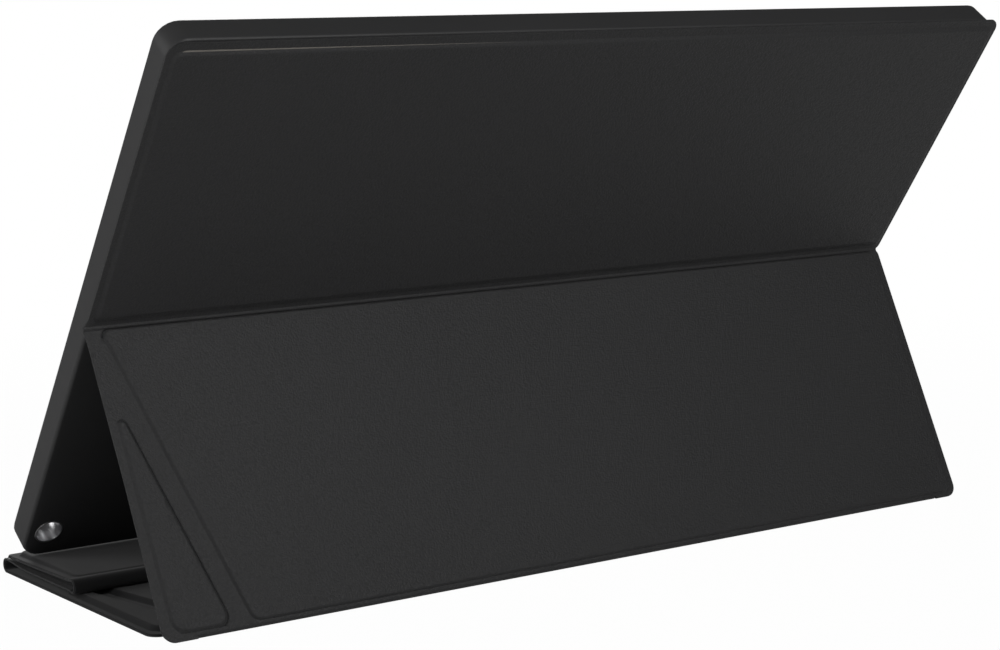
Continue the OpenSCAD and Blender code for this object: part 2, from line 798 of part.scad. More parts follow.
// Keys: cap through the bezel, a rim that keeps it in, and a stem over its switch
module key(i) {
    color(casing) monitor_frame() translate(key_spots[i]) {
        loft(pill(key_w, key_h), [[0, rim_z + rim_t - fit], [0, monitor_t + key_proud - 0.2],
            [-0.2, monitor_t + key_proud]]);
        slab(pill(key_w, key_h), rim_z, rim_z + rim_t, key_rim);
        translate([0, 0, rim_z - stem_len]) cylinder(r = stem_r, h = stem_len + fit);
    }
}

module power_key() { key(0); }
module menu_key() { key(1); }
module select_key() { key(2); }

upper_skin();
upper_board();
upper_lining();
cover_magnets();
leg_skin();
leg_board();
leg_corner_board();
leg_lining();
spine_strip();
floor_skin();
floor_board();
floor_corner_board();
floor_lining();
front_fold();
mid_skin();
mid_board();
mid_lining();
back_fold();
top_skin();
top_board();
top_lining();
rear_housing();
front_bezel();
lcd_panel();
light_guide();
led_strip();
panel_tray();
driver_board();
main_board();
panel_cable();
key_board();
board_screws();
usb_c_socket();
power_key();
menu_key();
select_key();
pen_hole_sleeve();
housing_magnets();
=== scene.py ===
import json
import math

import bmesh
import bpy
import numpy as np
from mathutils import Matrix, Vector


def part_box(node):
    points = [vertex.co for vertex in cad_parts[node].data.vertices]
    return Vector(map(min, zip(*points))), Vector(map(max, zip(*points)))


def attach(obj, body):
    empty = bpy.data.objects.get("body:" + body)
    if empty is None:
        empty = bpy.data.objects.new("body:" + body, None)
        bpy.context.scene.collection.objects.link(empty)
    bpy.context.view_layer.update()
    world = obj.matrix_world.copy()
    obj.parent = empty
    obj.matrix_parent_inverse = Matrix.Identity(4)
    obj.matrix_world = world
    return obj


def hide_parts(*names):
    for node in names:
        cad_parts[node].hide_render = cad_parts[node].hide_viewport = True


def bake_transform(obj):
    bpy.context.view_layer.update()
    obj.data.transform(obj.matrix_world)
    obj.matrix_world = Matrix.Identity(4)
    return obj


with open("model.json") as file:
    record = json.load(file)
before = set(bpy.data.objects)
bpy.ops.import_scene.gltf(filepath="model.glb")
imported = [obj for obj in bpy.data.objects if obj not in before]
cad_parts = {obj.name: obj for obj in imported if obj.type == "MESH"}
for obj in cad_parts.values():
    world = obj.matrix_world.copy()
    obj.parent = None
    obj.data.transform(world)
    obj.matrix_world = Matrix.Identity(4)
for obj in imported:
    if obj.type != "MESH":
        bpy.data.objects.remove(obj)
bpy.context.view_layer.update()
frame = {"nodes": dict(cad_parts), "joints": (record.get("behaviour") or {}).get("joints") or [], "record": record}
nodes = frame["nodes"]
joints = {j["name"]: j for j in frame["joints"]}
print("frame loaded,", len(nodes), "nodes")


# Camera at the photograph's angle
camera = {
    "place": (0.5067, 0.70567, 0.1988),
    "azimuth": 144.81, "elevation": 7.68, "roll": -1.05,  # degrees
    "lens": 83.52, "sensor": 36.0,
}


def addCamera(c):
    a, e, r = (math.radians(c[k]) for k in ("azimuth", "elevation", "roll"))
    back = Vector((math.sin(a) * math.cos(e), -math.cos(a) * math.cos(e), math.sin(e)))
    right = Vector((0, 0, 1)).cross(back).normalized()
    up = back.cross(right)
    x = math.cos(r) * right + math.sin(r) * up
    y = math.cos(r) * up - math.sin(r) * right
    data = bpy.data.cameras.new("camera")
    data.lens, data.sensor_width = c["lens"], c["sensor"]
    data.clip_start, data.clip_end = 0.01, 50
    obj = bpy.data.objects.new("camera", data)
    bpy.context.scene.collection.objects.link(obj)
    turn = Matrix((x, y, back)).transposed().to_4x4()
    obj.matrix_world = Matrix.Translation(Vector(c["place"])) @ turn
    bpy.context.scene.camera = obj


addCamera(camera)
print("camera placed")


# Shader maths written as arithmetic
class Value:
    def __init__(self, tree, socket):
        self.tree, self.socket = tree, socket

    def maths(self, operation, first, second=None):
        n = self.tree.nodes.new("ShaderNodeMath")
        n.operation = operation
        for slot, v in zip(n.inputs, (first, second)):
            if isinstance(v, Value):
                self.tree.links.new(v.socket, slot)
            elif v is not None:
                slot.default_value = v
        return Value(self.tree, n.outputs[0])

    def __add__(self, other):
        return self.maths("ADD", self, other)

    def __sub__(self, other):
        return self.maths("SUBTRACT", self, other)

    def __rsub__(self, other):
        return self.maths("SUBTRACT", other, self)

    def __mul__(self, other):
        return self.maths("MULTIPLY", self, other)

    def __pow__(self, other):
        return self.maths("POWER", self, other)

    __radd__ = __add__
    __rmul__ = __mul__


# A node tree: any other node comes from one method, its settings first, then its sockets
class Nodes:
    def __init__(self, tree):
        self.tree = tree

    def node(self, kind, settings=None, sockets=None, output=0):
        n = self.tree.nodes.new(kind)
        for k, v in (settings or {}).items():
            setattr(n, k, v)
        for k, v in (sockets or {}).items():
            if isinstance(v, Value):
                self.tree.links.new(v.socket, n.inputs[k])
            else:
                n.inputs[k].default_value = v
        return Value(self.tree, n.outputs[output])

    # whether a ray comes from the camera, and whether it comes from a shine
    def rays(self):
        return [self.node("ShaderNodeLightPath", output=k) for k in ("Is Camera Ray", "Is Glossy Ray")]


# A material on the Principled shader
class Finish(Nodes):
    def __init__(self, name, constants):
        self.material = bpy.data.materials.new(name)
        self.material.use_nodes = True
        super().__init__(self.material.node_tree)
        self.shader = self.tree.nodes["Principled BSDF"]
        for socket, v in constants.items():
            self.shader.inputs[socket].default_value = v

    def coordinates(self, stretch=(1, 1, 1)):
        place = self.node("ShaderNodeTexCoord", output="Object")
        if stretch == (1, 1, 1):
            return place
        return self.node("ShaderNodeMapping", {"vector_type": "POINT"},
                         {"Vector": place, "Scale": stretch})

    def noise(self, place, size, detail=3.0, roughness=0.5):
        return self.node("ShaderNodeTexNoise", None, {"Vector": place, "Scale": 1 / size,
                                                      "Detail": detail, "Roughness": roughness})

    def cells(self, place, size, smoothness):
        return self.node("ShaderNodeTexVoronoi", {"feature": "SMOOTH_F1"},
                         {"Vector": place, "Scale": 1 / size, "Smoothness": smoothness})

    # a colour between two others, by the Mix node's colour sockets
    def between(self, low, high, factor):
        return self.node("ShaderNodeMix", {"data_type": "RGBA"},
                         {0: factor, 6: (*low, 1), 7: (*high, 1)}, output=2)

    def drive(self, socket, v):
        self.tree.links.new(v.socket, self.shader.inputs[socket])

    def bump(self, height, depth, strength=1.0):
        self.drive("Normal", self.node("ShaderNodeBump", None,
                                       {"Height": height, "Distance": depth, "Strength": strength}))


def shade(colour, factor):
    return tuple(min(1.0, c * factor) for c in colour)


# Leather and microfibre: pebbles, creases between them, and a slow change of tone
soft = {"wanderSize": 3, "wanderShare": 0.4, "roundness": 0.55, "fineRoughness": 0.6,
        "dark": 0.86, "light": 1.16, "patchShare": 0.7, "meanPebble": 0.4}


def softFinish(name, look):
    f = Finish(name, look["constants"])
    place = f.coordinates()
    wander = f.noise(place, look["grain"] * soft["wanderSize"], 2)
    pebbles = f.cells(place, look["grain"], soft["roundness"])
    fine = f.noise(place, look["fine"], 4, soft["fineRoughness"])
    slow = f.noise(place, look["patch"], 3)
    share, shine = look["pebbleShare"], look["grainShine"]
    height = pebbles * share + fine * (1 - share) + wander * soft["wanderShare"]
    tone = slow * soft["patchShare"] + fine * (1 - soft["patchShare"])
    dark, light = shade(look["colour"], soft["dark"]), shade(look["colour"], soft["light"])
    f.drive("Base Color", f.between(dark, light, tone))
    least = look["roughness"] - look["roughnessSpread"] / 2 - shine * soft["meanPebble"]
    f.drive("Roughness", slow * look["roughnessSpread"] + pebbles * shine + least)
    f.bump(height, look["depth"], look["strength"])
    return f.material


# Moulded, rolled and pressed surfaces: speckle, handling marks and a slow change of gloss
hard = {"speckleRoughness": 0.65, "markSize": 0.12, "markRoughness": 0.7, "markShare": 0.15,
        "meanMark": 0.02, "dark": 0.9, "light": 1.12, "patchShare": 0.6}


def hardFinish(name, look):
    f = Finish(name, look["constants"])
    place = f.coordinates(look.get("stretch", (1, 1, 1)))
    speckle = f.noise(place, look["grain"], 4, hard["speckleRoughness"])
    slow = f.noise(f.coordinates(), look["patch"], 3)
    marks = f.noise(place, look["patch"] * hard["markSize"], 5, hard["markRoughness"]) ** 3
    tone = slow * hard["patchShare"] + speckle * (1 - hard["patchShare"])
    dark, light = shade(look["colour"], hard["dark"]), shade(look["colour"], hard["light"])
    f.drive("Base Color", f.between(dark, light, tone))
    least = look["roughness"] - look["roughnessSpread"] / 2 - hard["meanMark"]
    f.drive("Roughness", slow * look["roughnessSpread"] + marks * hard["markShare"] + least)
    f.bump(speckle, look["depth"], look["strength"])
    return f.material


finishes = {
    "leather": dict(kind=softFinish, colour=(0.030, 0.030, 0.031), roughness=0.50, roughnessSpread=0.06,
                    grain=0.0008, fine=0.00032, patch=0.06, pebbleShare=0.45, grainShine=0.34,
                    depth=0.00028, strength=1.0,
                    constants={"Specular IOR Level": 0.45, "Sheen Weight": 0.12,
                               "Sheen Roughness": 0.5}),
    "lining": dict(kind=softFinish, colour=(0.014, 0.014, 0.015), roughness=0.85, roughnessSpread=0.08,
                   grain=0.0004, fine=0.00015, patch=0.03, pebbleShare=0.3, grainShine=0.05,
                   depth=0.00006, strength=0.5,
                   constants={"Specular IOR Level": 0.3, "Sheen Weight": 0.25, "Sheen Roughness": 0.6}),
    "greyboard": dict(kind=hardFinish, colour=(0.30, 0.28, 0.25), roughness=0.9, roughnessSpread=0.05,
                      grain=0.0006, patch=0.02, depth=0.00008, strength=0.6, constants={}),
    "casing": dict(kind=hardFinish, colour=(0.052, 0.052, 0.053), roughness=0.5, roughnessSpread=0.06,
                   grain=0.00025, patch=0.05, depth=0.00002, strength=0.35, constants={}),
    "bezel": dict(kind=hardFinish, colour=(0.020, 0.020, 0.021), roughness=0.46, roughnessSpread=0.06,
                  grain=0.00025, patch=0.05, depth=0.00002, strength=0.35, constants={}),
    "screen": dict(kind=hardFinish, colour=(0.006, 0.006, 0.007), roughness=0.22, roughnessSpread=0.03,
                   grain=0.00012, patch=0.12, depth=0.000004, strength=0.15,
                   constants={"Coat Weight": 0.4, "Coat Roughness": 0.12}),
    "clear_guide": dict(kind=hardFinish, colour=(0.75, 0.77, 0.78), roughness=0.12, roughnessSpread=0.04,
                        grain=0.0005, patch=0.04, depth=0.00001, strength=0.2,
                        constants={"Transmission Weight": 0.6, "IOR": 1.49}),
    "lamps": dict(kind=hardFinish, colour=(0.72, 0.68, 0.42), roughness=0.5, roughnessSpread=0.06,
                  grain=0.0004, patch=0.01, depth=0.00003, strength=0.4, constants={}),
    "tray": dict(kind=hardFinish, colour=(0.56, 0.56, 0.57), roughness=0.34, roughnessSpread=0.10,
                 grain=0.0006, patch=0.04, depth=0.00002, strength=0.4, stretch=(0.04, 1, 1),
                 constants={"Metallic": 1.0}),
    "circuit": dict(kind=hardFinish, colour=(0.012, 0.10, 0.045), roughness=0.4, roughnessSpread=0.06,
                    grain=0.0008, patch=0.01, depth=0.00003, strength=0.5,
                    constants={"Coat Weight": 0.3, "Coat Roughness": 0.2}),
    "flat_cable": dict(kind=hardFinish, colour=(0.6, 0.55, 0.42), roughness=0.42, roughnessSpread=0.06,
                       grain=0.0007, patch=0.01, depth=0.00002, strength=0.3, stretch=(1, 0.05, 0.05),
                       constants={}),
    "steel": dict(kind=hardFinish, colour=(0.50, 0.50, 0.51), roughness=0.32, roughnessSpread=0.08,
                  grain=0.0003, patch=0.008, depth=0.00002, strength=0.4, stretch=(0.1, 1, 1),
                  constants={"Metallic": 1.0}),
    "magnet": dict(kind=hardFinish, colour=(0.55, 0.55, 0.57), roughness=0.25, roughnessSpread=0.08,
                   grain=0.0004, patch=0.01, depth=0.00002, strength=0.3, constants={"Metallic": 1.0}),
    "bright_metal": dict(kind=hardFinish, colour=(0.66, 0.66, 0.67), roughness=0.30,
                         roughnessSpread=0.06, grain=0.0012, patch=0.004, depth=0.000004, strength=0.15,
                         constants={"Metallic": 1.0}),
    "keys": dict(kind=hardFinish, colour=(0.032, 0.032, 0.033), roughness=0.42, roughnessSpread=0.06,
                 grain=0.0002, patch=0.02, depth=0.00002, strength=0.3, constants={}),
}
materials = {name: look["kind"](name, look) for name, look in finishes.items()}
slotOf = {p["node"]: p["material_slot"] for p in frame["record"]["subparts"]}
for name, node in nodes.items():
    node.data.materials.clear()
    node.data.materials.append(materials[slotOf[name]])
print("finishes made,", len(materials))


# Working tools
def deselectAll():
    if bpy.context.object and bpy.context.object.mode != "OBJECT":
        bpy.ops.object.mode_set(mode="OBJECT")
    bpy.ops.object.select_all(action="DESELECT")


def pick(obj):
    deselectAll()
    obj.select_set(True)
    bpy.context.view_layer.objects.active = obj


def applyModifiers(obj):
    pick(obj)
    for m in list(obj.modifiers):
        bpy.ops.object.modifier_apply(modifier=m.name)


def easeIn(v):
    v = np.clip(v, 0, 1)
    return v * v * (3 - 2 * v)


# The cover's side line: straight stretches and arcs, y and z in metres, leather on its left
class Route:
    def __init__(self, y, z, heading):
        self.point, self.heading, self.length, self.parts = np.array((y, z)), heading, 0.0, []

    def line(self, length):
        self.parts.append((self.length, length, self.point, self.heading, 0.0))
        self.point = self.point + length * np.array((math.cos(self.heading), math.sin(self.heading)))
        self.length += length
        return self

    def arc(self, radius, turn):
        self.parts.append((self.length, radius * abs(turn), self.point, self.heading,
                           math.copysign(1 / radius, turn)))
        self.point = self.at([self.length + radius * abs(turn)])[0, :2]
        self.heading += turn
        self.length += radius * abs(turn)
        return self

    def at(self, places):  # rows of y, z and the unit normal on the leather's side
        rows = []
        for s in places:
            part = next((p for p in self.parts if s <= p[0] + p[1] + 1e-12), self.parts[-1])
            along, heading, bend = s - part[0], part[3], part[4]
            normal = np.array((-math.sin(heading), math.cos(heading)))
            if bend == 0:
                point = part[2] + along * np.array((math.cos(heading), math.sin(heading)))
            else:
                heading += along * bend
                turned = np.array((-math.sin(heading), math.cos(heading)))
                point = part[2] + (normal - turned) / bend
                normal = turned
            rows.append((*point, *normal))
        return np.array(rows)


leastStep = 0.4  # a last step that is a smaller share of the near one joins the step before it


# Rows or columns that crowd together near each mark
def crowd(start, end, marks, near, far, reach, fade):
    places = [start]
    while places[-1] < end:
        gap = min(abs(places[-1] - m) for m in marks)
        step = near + (far - near) * min(1, max(0, gap - reach) / fade)
        places.append(places[-1] + step)
    places[-1] = end
    if end - places[-2] < near * leastStep:
        places.pop(-2)
    return np.array(places)


# Distance to each side of a board, positive outside it, its corners given anticlockwise
def sideDistances(x, y, corners):
    sides = []
    for a, b in zip(corners, corners[1:] + corners[:1]):
        length = math.dist(a, b)
        sides.append(((b[1] - a[1]) * (x - a[0]) - (b[0] - a[0]) * (y - a[1])) / length)
    return sides


# Distance to a board's outline, negative inside, with a radius for each corner
def boardDistance(x, y, corners, radii):
    sides = sideDistances(x, y, corners)
    whole = np.full(x.shape, -1.0)
    for before, after, r in zip(sides[-1:] + sides[:-1], sides, radii):
        rounded = np.hypot(np.maximum(before + r, 0), np.maximum(after + r, 0))
        whole = np.maximum(whole, np.minimum(np.maximum(before, after), -r) + rounded)
    return whole


# How far a rounded corner pulls the side in, at a distance from the edge
def cornerPull(distance, radius):
    left = np.clip(radius - distance, 0, radius)
    return radius - np.sqrt(radius * radius - left * left)


# How finely a sheet is divided and how its rims are found and rounded
weave = {"near": 0.00035, "far": 0.006, "reach": 0.0016, "fade": 0.02, "least": 0.00012,
         "rimShare": 0.3, "rimProfile": 0.6, "sharp": 1.0, "seamReach": 0.0002, "smooth": 50}


# A sheet along a route: a grid shaped by its section, thickened, its cut edges rounded
def makeSheet(name, route, rows, features, reference, lift, thickness, finish, seams=(), hole=None):
    columns = crowd(reference[0], reference[-1], reference,
                    weave["near"], weave["far"], weave["reach"], weave["fade"])
    line = route.at(rows)
    points = np.zeros((len(rows), len(columns), 3))
    least = weave["least"]
    for j, s in enumerate(rows):
        places = list(features(s))
        for k in range(len(places) - 2, 0, -1):
            places[k] = min(places[k], places[k + 1] - least)
        for k in range(1, len(places) - 1):
            places[k] = max(places[k], places[k - 1] + least)
        x = np.interp(columns, reference, places)
        rise = lift(x, np.full(x.shape, s))
        points[j, :, 0] = x
        points[j, :, 1] = line[j, 0] + line[j, 2] * rise
        points[j, :, 2] = line[j, 1] + line[j, 3] * rise
    deselectAll()
    across, along = len(columns) - 1, len(rows) - 1
    bpy.ops.mesh.primitive_grid_add(x_subdivisions=across, y_subdivisions=along, size=1)
    obj = bpy.context.object
    obj.name = obj.data.name = name
    obj.data.vertices.foreach_set("co", points.reshape(-1))
    obj.data.update()
    if hole:
        cutAway(obj, rows, columns, points, hole)
    sheet = bmesh.new()
    sheet.from_mesh(obj.data)
    # the wall's second face repeats the first one's order
    border = [v.is_boundary for v in sheet.verts] * 2
    sheet.free()
    wall = obj.modifiers.new("thickness", "SOLIDIFY")
    wall.thickness, wall.offset, wall.use_even_offset = thickness, 0, True
    applyModifiers(obj)
    roundRims(obj, thickness * weave["rimShare"], seams, border)
    obj.data.materials.append(finish)
    pick(obj)
    bpy.ops.object.shade_smooth_by_angle(angle=math.radians(weave["smooth"]))
    return obj


# Faces of the grid that fall in the hole are deleted
def cutAway(obj, rows, columns, points, hole):
    middleX = (points[:-1, :-1, 0] + points[1:, 1:, 0]) / 2
    middleS = np.broadcast_to(((rows[:-1] + rows[1:]) / 2)[:, None], middleX.shape)
    gone = hole(middleX, middleS).reshape(-1)
    pick(obj)
    bpy.ops.object.mode_set(mode="EDIT")
    bpy.ops.mesh.select_mode(type="FACE")
    bpy.ops.mesh.select_all(action="DESELECT")
    bpy.ops.object.mode_set(mode="OBJECT")
    obj.data.polygons.foreach_set("select", gone)
    bpy.ops.object.mode_set(mode="EDIT")
    bpy.ops.mesh.delete(type="FACE")
    bpy.ops.object.mode_set(mode="OBJECT")


# Bevel of the sharp rims, away from the planes where the sheet goes on into the next one
def roundRims(obj, width, seams, border):
    pick(obj)
    bpy.ops.object.mode_set(mode="EDIT")
    bpy.ops.mesh.select_mode(type="EDGE")
    bpy.ops.mesh.select_all(action="DESELECT")
    mesh = bmesh.from_edit_mesh(obj.data)
    for e in mesh.edges:
        onRim = all(border[v.index] for v in e.verts)
        if onRim and len(e.link_faces) == 2 and e.calc_face_angle() > weave["sharp"]:
            middle = (e.verts[0].co + e.verts[1].co) / 2
            away = [abs((middle - Vector(p)).dot(Vector(n))) for p, n in seams]
            e.select_set(all(distance >= weave["seamReach"] for distance in away))
    bmesh.update_edit_mesh(obj.data)
    bpy.ops.mesh.bevel(offset=width, segments=2, profile=weave["rimProfile"], affect="EDGES")
    bpy.ops.object.mode_set(mode="OBJECT")


# Sizes of the folded cover, in metres
folio = {
    "half": 0.17945, "corner": 0.0048,
    "leather": 0.0006, "lining": 0.00036, "panel": 0.0026, "gap": 0.0002,
    "boardSide": 0.0036, "boardEnd": 0.0032, "boardCorner": 0.003,
    "wideCorner": 0.005, "tipShare": 0.45, "liningCut": 0.0003,
}
between = (folio["leather"] + folio["lining"]) / 2  # from the leather's middle to the lining's
# how much further apart they are over a board
sink = folio["panel"] - folio["leather"] / 2 - folio["lining"] / 2 - between
cut = folio["liningCut"]  # the lining is cut this much inside the leather
# how much the leather rises over a board, and how much further down its lining goes
leatherRise = folio["panel"] / 2 - folio["leather"] / 2
liningDrop = folio["panel"] / 2 - folio["lining"] / 2 - between
half, boardHalf = folio["half"], folio["half"] - folio["boardSide"]
footY, footZ = joints["stand_fold"]["pos_m"][1:]
creaseY, creaseZ = joints["crease_fold"]["pos_m"][1:]
frontY = joints["mid_fold"]["pos_m"][1]
backY, backZ = joints["top_fold"]["pos_m"][1:]
outward = Vector(joints["monitor_release"]["axis"])
upHeading = math.atan2(-outward.y, outward.z)  # up the monitor's back
legLength = math.hypot(footY - creaseY, creaseZ - footZ)
legHeading = math.atan2(footZ - creaseZ, footY - creaseY)


# A panel with a large board whose one end slants, and a long triangular board beside it
def trapezoid(length, look, boardTop, boardEnd):
    slope, end = look["slant"] / length, length - boardEnd
    smallSlope, outer = look["smallSlant"] / length, boardHalf + look["smallSide"]
    tipX = outer + look["smallFlare"]
    tipY = (look["tip"] + look["smallStart"] - look["smallSide"] - look["smallFlare"]) / smallSlope

    def at(y):
        return boardHalf - look["slantStart"] - slope * y

    def smallAt(y):
        return boardHalf + look["smallStart"] - smallSlope * y

    main = [(-boardHalf, boardTop), (at(boardTop), boardTop), (at(end), end), (-boardHalf, end)]
    small = [(tipX - look["tip"], tipY), (tipX, tipY), (outer, end), (smallAt(end), end)]
    return {"main": main, "small": small, "at": at, "smallAt": smallAt, "tipY": tipY, "tip": look["tip"]}


def trapezoidDistance(x, y, shape):
    main = boardDistance(x, y, shape["main"], [folio["boardCorner"]] * 4)
    tip, wide = shape["tip"] * folio["tipShare"], folio["wideCorner"]
    return main, boardDistance(x, y, shape["small"], [tip, tip, wide, wide])


def swell(distance, start, width):
    return easeIn((start - distance) / width)


# Upper half, crease and leg: one sheet of leather and one of lining
upper = {"length": 0.1163, "boardSide": 0.0022, "leftReach": 0.0010, "boardTop": 0.004,
         "boardFoot": 0.0040,
         "creaseCorner": 0.0026, "creaseInset": 0.0011, "creaseRadius": 0.0011,
         "shoulder": 0.0018, "shoulderStart": 0.0011, "footShoulder": 0.0038,
         "drop": 0.0012, "dropStart": 0.05, "rightOut": 0.00015, "leftOut": 0.001, "softer": 1.3}
leg = {"boardTop": 0.0015, "boardEnd": 0.0016, "slantStart": -0.0007, "slant": 0.02995,
       "smallStart": 0.0093, "smallSlant": 0.0306, "smallSide": 0.0002, "smallFlare": 0.0019,
       "tip": 0.0022,
       "shoulder": 0.0006, "leftShoulder": 0.0012, "leftReach": 0.0008, "shoulderStart": 0.00040,
       "crack": 0.0006, "crackWidth": 0.00026, "crackAt": 0.00055,
       "crackEnd": 0.0065, "crackFade": 0.004, "sideTurn": 0.0012,
       "bead": 0.00055, "beadAt": 0.00005, "beadHalf": 0.00095,
       "seam": 0.0012, "tongue": 0.0012, "columnGap": 0.0002}
spine = {"inset": 0.0115, "radius": 0.0009}
# how far the sheet's left edge stands outside the panel, by the distance below the crease
flare = [(-0.115, 0.0015), (-0.02, 0.00165), (-0.004, 0.0018), (-0.0025, 0.0021), (-0.0012, 0.0026),
         (0, 0.00295), (0.0012, 0.0030), (0.0025, 0.0028), (0.005, 0.0024), (0.010, 0.0022),
         (0.018, 0.0021), (0.053, 0.0012), (0.083, 0.00085), (0.107, 0.0008)]
creaseTurn = legHeading - (upHeading - math.pi)
tangent = upper["creaseRadius"] * math.tan(creaseTurn / 2)
topEdge = (creaseY + upper["length"] * math.cos(upHeading),
           creaseZ + upper["length"] * math.sin(upHeading))
coverRoute = Route(*topEdge, upHeading - math.pi)
coverRoute.line(upper["length"] - tangent)
coverRoute.arc(upper["creaseRadius"], creaseTurn)
coverRoute.line(legLength + leg["tongue"] - tangent)
shortcut = 2 * tangent - upper["creaseRadius"] * creaseTurn  # the arc cuts the corner
creaseAt = upper["length"] - shortcut / 2
legSeamAt = creaseAt + legLength - leg["seam"] - shortcut / 2
legShape = trapezoid(legLength, leg, leg["boardTop"], leg["boardEnd"])
upperHalf = half - upper["boardSide"]
upperLeft = upperHalf + upper["leftReach"]
upperTop = upper["length"] - upper["boardTop"]
upperBoard = [(-upperHalf, 0), (upperLeft, 0), (upperLeft, upperTop), (-upperHalf, upperTop)]
spineHalf = half - spine["inset"]


def coverSwell(x, s, softer=1.0):
    y = creaseAt - s
    around = boardDistance(x, y, upperBoard, [folio["boardCorner"]] * 4)
    onUpper = swell(around, upper["shoulderStart"], upper["shoulder"] * softer)
    aboveFoot = y - upper["boardFoot"] + upper["footShoulder"] / 2
    onUpper = onUpper * easeIn(aboveFoot / upper["footShoulder"])
    main, small = trapezoidDistance(x, -y, legShape)
    leftSides = np.minimum(abs(main - sideDistances(x, -y, legShape["main"])[1]),
                           abs(small - sideDistances(x, -y, legShape["small"])[1]))
    leftward = easeIn(1 - leftSides / leg["leftReach"])
    width = leg["shoulder"] + (leg["leftShoulder"] - leg["shoulder"]) * leftward
    onLeg = swell(np.minimum(main, small), leg["shoulderStart"], width * softer)
    return np.where(s < creaseAt, onUpper, onLeg), main, small


# The pressed lines beside the boards, as a depth
def coverCracks(x, below, main, small):
    crack = np.exp(-((main - leg["crackAt"]) / leg["crackWidth"]) ** 2)
    crack = crack * easeIn((leg["crackEnd"] - below) / leg["crackFade"])
    leftSide, rightSide = (sideDistances(x, below, legShape["small"])[k] for k in (1, 3))
    smallCrack = np.exp(-((small - leg["crackAt"]) / leg["crackWidth"]) ** 2)
    smallCrack = smallCrack * easeIn((rightSide - leftSide) / leg["sideTurn"] + 0.5)
    return (crack + smallCrack) * leg["crack"] * (below > 0)


def coverLeatherLift(x, s):
    rise, main, small = coverSwell(x, s)
    below = s - creaseAt
    bead = leg["bead"] * np.maximum(0, 1 - ((below - leg["beadAt"]) / leg["beadHalf"]) ** 2)
    return np.maximum(rise * leatherRise, bead) - coverCracks(x, below, main, small)


def coverLiningLift(x, s):
    rise, main, small = coverSwell(x, s, upper["softer"])
    return -between - np.maximum(rise * liningDrop, coverCracks(x, s - creaseAt, main, small))


def coverSides(s, trim=0.0):
    y = s - creaseAt
    pull = float(cornerPull(s - trim, folio["corner"]))
    pull += float(cornerPull(coverRoute.length - trim - s, folio["corner"]))
    notch = min(upper["creaseInset"], float(cornerPull(abs(y), upper["creaseCorner"])))
    left = half + float(np.interp(y, *zip(*flare))) - pull - trim
    return -half - upper["rightOut"] + pull + notch + trim, left


def coverFeatures(trim):
    def at(s):
        y = min(max(s - creaseAt, 0), legLength)
        right, left = coverSides(s, trim)
        slantX = legShape["at"](y)
        board = upperHalf if s < creaseAt else boardHalf
        inner, outer = legShape["smallAt"](y), board + leg["smallSide"]
        pastSpine = max(spineHalf, inner + leg["columnGap"])
        return [right, -board, -spineHalf, slantX, inner, pastSpine, outer, left]
    return at


def coverReference(trim):
    return [-half + trim, -boardHalf, -spineHalf, legShape["at"](legLength),
            legShape["smallAt"](legLength), spineHalf, boardHalf, half + upper["leftOut"] - trim]


# the top edge hangs lower towards the left
def dropTop(obj):
    down = np.array((0, -math.cos(upHeading), -math.sin(upHeading)))
    place = np.zeros(len(obj.data.vertices) * 3)
    obj.data.vertices.foreach_get("co", place)
    place = place.reshape(-1, 3)
    high = -(place - np.array((0, creaseY, creaseZ))) @ down
    share = easeIn((high - upper["dropStart"]) / (upper["length"] - upper["dropStart"]))
    share = share * (place[:, 0] + half) / (2 * half)
    place += np.outer(share * upper["drop"], down)
    obj.data.vertices.foreach_set("co", place.reshape(-1))
    obj.data.update()


coverMarks = [0, upper["boardTop"], creaseAt - upper["boardFoot"], creaseAt, creaseAt + leg["boardTop"],
              creaseAt + legShape["tipY"], creaseAt + legLength - leg["boardEnd"], coverRoute.length]
coverRows = crowd(0, coverRoute.length, coverMarks, near=0.0002, far=0.004, reach=0.0018, fade=0.012)
coverRows[np.argmin(abs(coverRows - legSeamAt))] = legSeamAt
legSeam = coverRoute.at([legSeamAt])[0]
legSeamPlane = ((0, legSeam[0], legSeam[1]), (0, math.cos(legHeading), math.sin(legHeading)))


# The foot's width below the seam belongs to the foot's own sheets
def footHole(x, s):
    return (s > legSeamAt) & (abs(x) < spineHalf)


coverLeather = makeSheet("cover_leather", coverRoute, coverRows, coverFeatures(0), coverReference(0),
                         coverLeatherLift, folio["leather"], materials["leather"], [legSeamPlane],
                         hole=footHole)
liningRows = np.unique(np.clip(coverRows, cut, coverRoute.length - cut))
coverLining = makeSheet("cover_lining", coverRoute, liningRows, coverFeatures(cut), coverReference(cut),
                        coverLiningLift, folio["lining"], materials["lining"], [legSeamPlane],
                        hole=footHole)
dropTop(coverLeather)
dropTop(coverLining)


